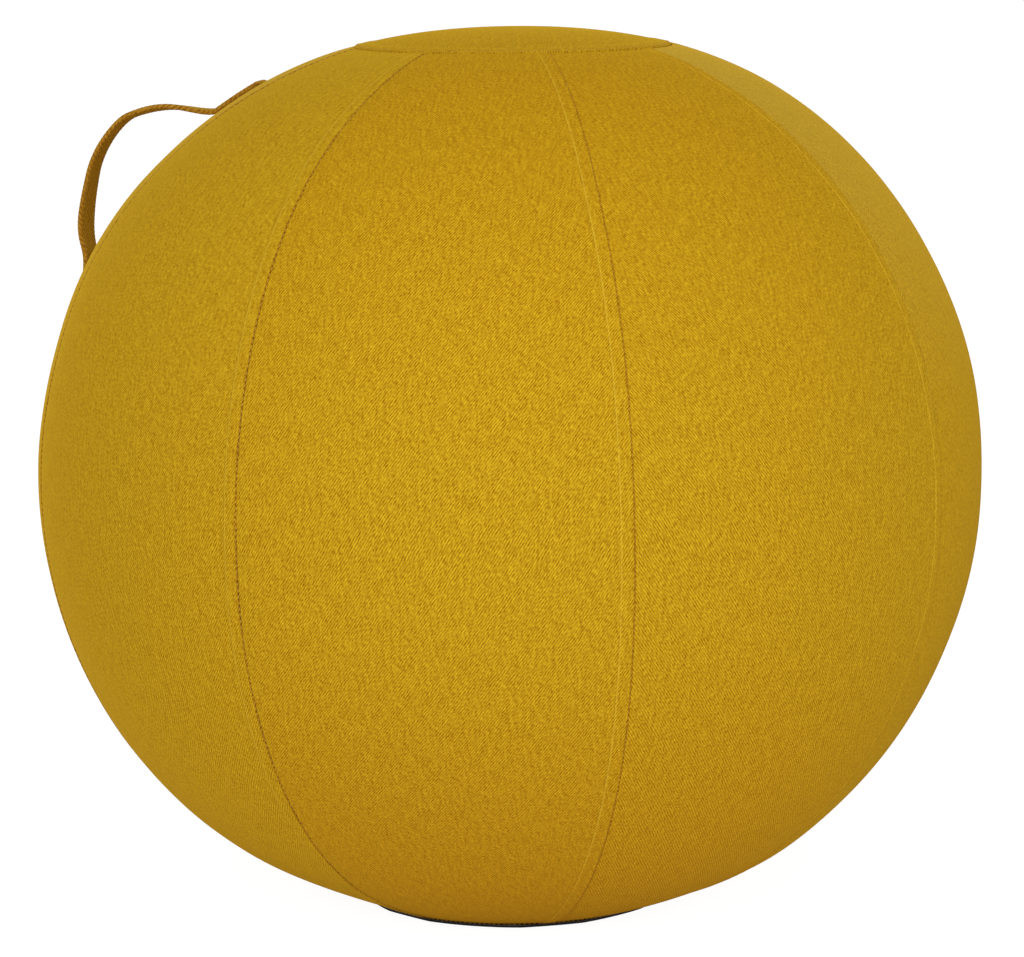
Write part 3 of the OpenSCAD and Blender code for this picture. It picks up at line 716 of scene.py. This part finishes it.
def strap_route():
    """The strap's middle line in the plane through the axis, and where its loop starts and ends on it."""
    knots = [low_root + s * span * along + t * handle_rise * away for s, t in loop_shape]
    t = np.linspace(0, 1, 60)[:, None]
    loop = [low_root[None]]
    for i in (0, 3, 6):
        a, b, c, d = knots[i : i + 4]
        curve = (1 - t) ** 3 * a + 3 * (1 - t) ** 2 * t * b + 3 * (1 - t) * t**2 * c + t**3 * d
        loop.append(curve[1:])
    whole = np.vstack([patch_run(low_angle, -1)[:0:-1], *loop, patch_run(high_angle, 1)[1:]])
    line = spaced(softened(whole, 0.0003, 0.0013), strap_step)
    long = strap_step * (len(line) - 1)
    return line, patch_len / long, 1 - patch_len / long


strap_line, loop_from, loop_to = strap_route()
strap_out = np.gradient(strap_line, axis=0)
strap_out = np.stack([strap_out[:, 1], -strap_out[:, 0]], -1) / np.linalg.norm(strap_out, axis=1)[:, None]
strap_share = np.linspace(0, 1, len(strap_line))
loop_share = (strap_share - loop_from) / (loop_to - loop_from)
strap_twist = np.radians(np.interp(loop_share, [0, 0.2, 0.4, 0.6, 0.8, 1], [0, -6.5, -1, 0.5, -6, 0]))
strap_twist = np.convolve(np.pad(strap_twist, 12, "edge"), np.ones(25) / 25, "valid")


def on_strap(i, across, up):
    """A point of the strap: along its line, across its width and out from its middle, with its twist."""
    turn = strap_twist[i]
    level, side = up * math.cos(turn) + across * math.sin(turn), across * math.cos(turn) - up * math.sin(turn)
    at = strap_line[i] + level * strap_out[i]
    return (-at[0], side, at[1])


def leaned(points):
    """Points of the strap, leaned over round the line through its roots. At the roots they stay as sewn."""
    moved = []
    for p in points:
        arm = Vector(p) - axis_at
        share = min(1, max(0, arm.dot(axis_away) / root_reach))
        moved.append(Quaternion(axis, lean * share * share * (3 - 2 * share)) @ arm + axis_at)
    return moved


def strap_section(i):
    """The strap across its width: round edges, pinched between stitches, sewn channels and thinned ends."""
    pinch = 1 + strap_pinch * math.sin(2 * math.pi * i * strap_step / strap_stitch[0])
    from_end = min(i, len(strap_line) - 1 - i) * strap_step
    thin = math.sqrt(max(0.06, 1 - max(0, 1 - from_end / end_thinning) ** 2))
    edge = strap_t / 2 * pinch
    flat = strap_w / 2 - strap_t / 2
    top = []
    for across in np.linspace(-flat, flat, 25):
        from_row = strap_w / 2 - abs(across) - strap_inset
        channel = channel_deep * math.exp(-((from_row / channel_half) ** 2))
        swell = strap_swell * (1 - (across / flat) ** 2)
        top.append((across, (strap_t / 2 - channel + swell) * (1 + (pinch - 1) * abs(across / flat) ** 4)))
    for t in np.radians([22, 45, 68, 90, 112, 135, 158]):
        top.append((flat + edge * math.sin(t), edge * math.cos(t)))
    whole = top + [(-across, -up) for across, up in top]
    return [(across, up * thin - (1 - thin) * strap_t * 0.4) for across, up in whole]


def handle():
    """One folded strap, sewn down at both ends, and all its stitches. It leans over round the line through
    its roots.
    """
    sections = [strap_section(i) for i in range(len(strap_line))]
    points = [on_strap(i, *p) for i, section in enumerate(sections) for p in section]
    wide = len(sections[0])
    run = run_along(sections[60] + sections[60][:1])
    faces, uv = [], []
    for i in range(len(sections) - 1):
        for j in range(wide):
            low, high = i * wide, (i + 1) * wide
            k = (j + 1) % wide
            faces.append((low + j, low + k, high + k, high + j))
            a, b = i * strap_step, (i + 1) * strap_step
            uv += [(run[j], a), (run[j + 1], a), (run[j + 1], b), (run[j], b)]
    for ring, first in ((sections[0][::-1], 0), (sections[-1], len(points) - wide)):
        order = range(wide) if first else range(wide - 1, -1, -1)
        faces.append([first + j for j in order])
        uv += ring
    strap = settle(plain("handle_strap", leaned(points), faces, uv, strap_cloth))
    rows = [leaned(row) for row in strap_rows()]
    threads = settle(sewn("handle_stitches", rows, strap_stitch, 6))
    for piece in (strap, threads):
        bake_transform(piece)
    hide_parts("handle_root_low", "handle_root_high", "handle_loop")


def strap_rows():
    """Lines that the strap's stitches follow: along both edges, and a crossed box on each sewn end."""
    last = len(strap_line) - 1
    rows = []
    for across in (strap_inset - strap_w / 2, strap_w / 2 - strap_inset):
        for up in (thread_sunk - strap_t / 2, strap_t / 2 - thread_sunk):
            rows.append([on_strap(i, across, up) for i in range(4, last - 3)])
    half, top = strap_w / 2 - 0.006, strap_t / 2 + 0.0001
    patch = round(patch_len / strap_step)
    for a, b in ((5, patch - 4), (last - 5, last - patch + 4)):
        steps = np.linspace(a, b, 30).astype(int)
        for way in (-1, 1):
            rows.append([on_strap(i, way * half * (1 - 2 * n / 29), top) for n, i in enumerate(steps)])
        for i in (a, b):
            rows.append([on_strap(i, across, top) for across in np.linspace(-half, half, 12)])
    return rows


# The base

facet_depth = 0.0012


def faceted(degrees):
    """The band's edge runs a little straight between the points where it is tacked."""
    tacks = np.array([0, 27, 62, 96, 131, 158, 189, 226, 246, 281, 304, 332, 360.0])
    turn = np.asarray(degrees) % 360
    bay = np.clip(np.searchsorted(tacks, turn, "right") - 1, 0, len(tacks) - 2)
    share = (turn - tacks[bay]) / (tacks[bay + 1] - tacks[bay])
    return -facet_depth * np.sin(np.pi * share)


def base_band():
    """The rolled black band round the base: a flat top and bottom, and a full round edge."""
    centre, half = base_r - 0.00055, rim_h / 2
    outline = [(base_r - rim_w, rim_lift), (centre, rim_lift)]
    for t in np.radians(np.arange(-75, 90, 15)):
        outline.append((centre + half * math.cos(t), rim_lift + half + half * math.sin(t)))
    outline += [(centre, rim_lift + rim_h), (base_r - rim_w, rim_lift + rim_h)]
    band = lathe("base_band", outline, band_leather, columns=360, wobble=faceted, sharp=50)
    belongs(band, "base_band", "base_rim")


def base_grip():
    """The non-slip sheet under the base, on which moulded dots stand."""
    out, foot = base_r - rim_w - seat_gap - grip_gap, 0.0003
    outline = [
        (0, foot), (out - 0.0006, foot), (out - 0.0002, foot + 0.0002), (out, foot + 0.0006),
        (out, sheet_t - 0.0003), (out - 0.0003, sheet_t), (0, sheet_t),
    ]
    sheet = lathe("base_grip_sheet", outline, grip_sheet, columns=180, from_above=True)
    sizes = {
        "Spacing": 0.0055, "Dot radius": 0.0016, "Dot height": 0.0004,
        "Reach": out - 0.004, "Stuff": grip_dots,
    }
    field = belongs(grown("base_grip_dots", dots, sizes), "base_sheet")
    belongs(sheet, "base_sheet", "base_sheet")


def base_felt():
    """The felt pad over the steel ring, with a skirt round it."""
    low, ring_r = sheet_t + seat_gap, base_r - rim_w - ring_margin
    pad_z = sheet_t + ring_t + seat_gap
    top, skirt_in = pad_z + pad_t, ring_r + seat_gap
    out = base_r - rim_w - 5 * seat_gap - grip_gap
    outline = [
        (well_r, pad_z), (skirt_in, pad_z), (skirt_in, low), (out - 0.001, low), (out, low + 0.001),
        (out, top - 0.0012), (out - 0.0012, top), (well_r + 0.0008, top), (well_r, top - 0.0008),
    ]
    pad = belongs(lathe("base_felt_pad", outline, felt, columns=180), "pad_felt", "base_pad")
    return top


def ball_inside(floor_z):
    """The inflated ball: a thin closed skin with the low rings of its mould, cut flat over the base."""
    depth, ridge_h, ridge_deg = cloth_t + cover_gap, 0.0006, 12

    def angle_at(height, deep):
        low, high = -90.0, 0.0
        for _ in range(40):
            middle = (low + high) / 2
            low, high = (middle, high) if skin(middle, deep)[1] < height else (low, middle)
        return low

    hole = head_r + slide_gap + barrel_wall + seat_gap
    steps = np.linspace(angle_at(floor_z, depth), 90, 170)
    waves = np.cos(np.radians(steps * 360 / ridge_deg)) - 1
    ridges = np.where(np.abs(steps) < 60, ridge_h / 2 * waves, 0)
    outer = np.array([skin(a, depth - ridge) for a, ridge in zip(steps, ridges)])
    inner = skin(np.linspace(90, angle_at(floor_z + bladder_t, depth + bladder_t), 90), depth + bladder_t)
    outer[-1, 0] = inner[0, 0] = 0
    outline = np.vstack([[(hole, floor_z)], outer, inner, [(hole, floor_z + bladder_t)]])
    belongs(settle(lathe("ball_skin", outline, ball_vinyl, columns=128)), "ball_skin", "inner_ball")


# The zip behind the base


def across_zip(u, v):
    """A point of the zip's section: outwards along the cover by u, and up into the ball by v."""
    c, s = math.cos(zip_slope), math.sin(zip_slope)
    return (zip_mid[0] + u * c - v * s, zip_mid[1] + u * s + v * c)


def zip_cloth():
    """The strip between base and zip, the two tapes, and a sewn row on each side of the teeth."""
    angles = np.linspace(belly_angle(base_r), belly_angle(zip_r - zip_reach * math.cos(zip_slope)), 9)
    outline = np.vstack([skin(angles), skin(angles[::-1], cloth_t)])
    strip = lathe("zip_facing_strip", outline, crown_cloth, zip_from + 0.1, zip_to - 0.1, columns=120)
    belongs(strip, "cover_cloth", "zip_facing")
    middle = cloth_t / 2 + seat_gap + (tooth_out + tape_w) ** 2 / crown_h + tape_t / 2
    for start, node in ((tooth_out, "zip_tape_cover"), (-tooth_out - tape_w, "zip_tape_base")):
        widths = np.linspace(start, start + tape_w, 6)
        tape = [across_zip(u, middle - tape_t / 2) for u in widths]
        tape += [across_zip(u, middle + tape_t / 2) for u in widths[::-1]]
        piece = lathe(node + "_weave", tape, tape_weave, zip_from - 1.5, zip_to + 1.5, columns=140)
        belongs(piece, "zip_tape", node)
    rows = []
    for u in (zip_reach + zip_row, -zip_reach - zip_row):
        row = skin(belly_angle(zip_r + u * math.cos(zip_slope)), -0.0001)
        rows.append(round_row(row, zip_from + 1.5, zip_to - 1.5, 200))
    belongs(sewn("zip_topstitches", rows, zip_stitch, 7), "cover_cloth")


def frame_finishes():
    """Materials of the frame's own parts, which show as they are."""
    finishes = {
        "valve_seat": (valve_vinyl, "valve_seat"), "valve_plug": (plug_plastic, "valve_plug"),
        "weight_ring": (steel, "ring_steel"),
        "zip_teeth_cover": (acetal, "zip_teeth"), "zip_teeth_base": (acetal, "zip_teeth"),
        "zip_end_box": (nickel, "zip_metal"), "zip_top_stops": (nickel, "zip_metal"),
        "zip_slider": (nickel, "zip_metal"), "zip_pull": (nickel, "zip_metal"),
    }
    for node, (material, slot) in finishes.items():
        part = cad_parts[node]
        part.data.materials.clear()
        part.data.materials.append(material)


# Camera, light and floor

photo_w = 1024
focal_px, shift_px = 3633.6, (1.1, -5.6)
azimuth, elevation, distance, roll = math.radians(9.3), math.radians(9.29), 2.527, math.radians(-0.67)


def camera():
    """The camera at the photograph's angle."""
    flat = math.cos(elevation)
    back = Vector((math.sin(azimuth) * flat, -math.cos(azimuth) * flat, math.sin(elevation)))
    eye = put("camera", bpy.data.cameras.new("camera"))
    eye.rotation_mode = "QUATERNION"
    eye.location = Vector((0, 0, widest_z)) + back * distance
    eye.rotation_quaternion = (-back).to_track_quat("-Z", "Y") @ Quaternion((0, 0, 1), roll)
    eye.data.lens = focal_px * eye.data.sensor_width / photo_w
    eye.data.shift_x, eye.data.shift_y = shift_px[0] / photo_w, shift_px[1] / photo_w
    bpy.context.scene.camera = eye


def lamp(name, place, aim, size, power, colour):
    """A soft round box, turned to what it lights."""
    light = put(name, bpy.data.lights.new(name, "AREA"))
    light.data.shape, light.data.size = "DISK", size
    light.data.energy, light.data.color = power, colour
    light.location = place
    light.rotation_mode = "QUATERNION"
    light.rotation_quaternion = (Vector(aim) - Vector(place)).to_track_quat("-Z", "Y")


def white_room(level, tint):
    """Even light from all round. The camera, mirrors and glass see it as plain white."""
    world = bpy.data.worlds.new("white room")
    bpy.context.scene.world = world
    world.use_nodes = True
    tree = world.node_tree
    tree.nodes.clear()
    path = add(tree, "ShaderNodeLightPath").outputs
    through = add(tree, MATH, "MAXIMUM", path["Is Glossy Ray"], path["Is Transmission Ray"])
    seen = add(tree, MATH, "MAXIMUM", path["Is Camera Ray"], through)
    room = add(tree, "ShaderNodeBackground", None, tint, level)
    white = add(tree, "ShaderNodeBackground", None, (1, 1, 1, 1), 1.0)
    add(tree, "ShaderNodeOutputWorld", None, add(tree, "ShaderNodeMixShader", None, seen, room, white))


def floor():
    """A pale floor. The camera sees it all but white, with the faint shadow that the ball leaves on it."""
    matt = {"Base_Color": linear("#F2EADF"), "Roughness": 0.9, "Specular_IOR_Level": 0.1}
    material, tree, shader = surface("pale matt studio floor", **matt)
    paper = add(tree, "ShaderNodeBsdfDiffuse", None, linear("#8C8C8C"))
    glow = add(tree, "ShaderNodeEmission", None, (1, 1, 1, 1), 0.95)
    shown = add(tree, "ShaderNodeAddShader", None, paper, glow)
    seen = add(tree, "ShaderNodeLightPath").outputs["Is Camera Ray"]
    both = add(tree, "ShaderNodeMixShader", None, seen, shader, shown)
    output = next(n for n in tree.nodes if n.type == "OUTPUT_MATERIAL")
    tree.links.new(both.outputs[0], output.inputs["Surface"])
    mesh = bpy.data.meshes.new("floor")
    mesh.from_pydata([(-40, -40, 0), (40, -40, 0), (40, 40, 0), (-40, 40, 0)], [], [(0, 1, 2, 3)])
    mesh.materials.append(material)
    put("floor", mesh)


camera()
for panel_number in range(1, panel_count + 1):
    cover_panel(panel_number)
cover_top()
cover_threads()
handle()
base_band()
base_grip()
pad_top = base_felt()
ball_inside(pad_top + 2 * seat_gap)
zip_cloth()
frame_finishes()
white_room(0.34, (1, 0.92, 0.9, 1))
middle = (0, 0, widest_z)
lamp("front_box", (0.10, -2.9, 1.45), middle, 1.5, 42, (1, 1, 1))
lamp("right_box", (2.6, -1.2, 1.2), middle, 1.2, 9, (1, 1, 1))
lamp("top_box", (0, -0.6, 3.0), middle, 1.5, 5, (1, 1, 1))
floor()
bpy.context.scene.view_settings.view_transform = "Standard"
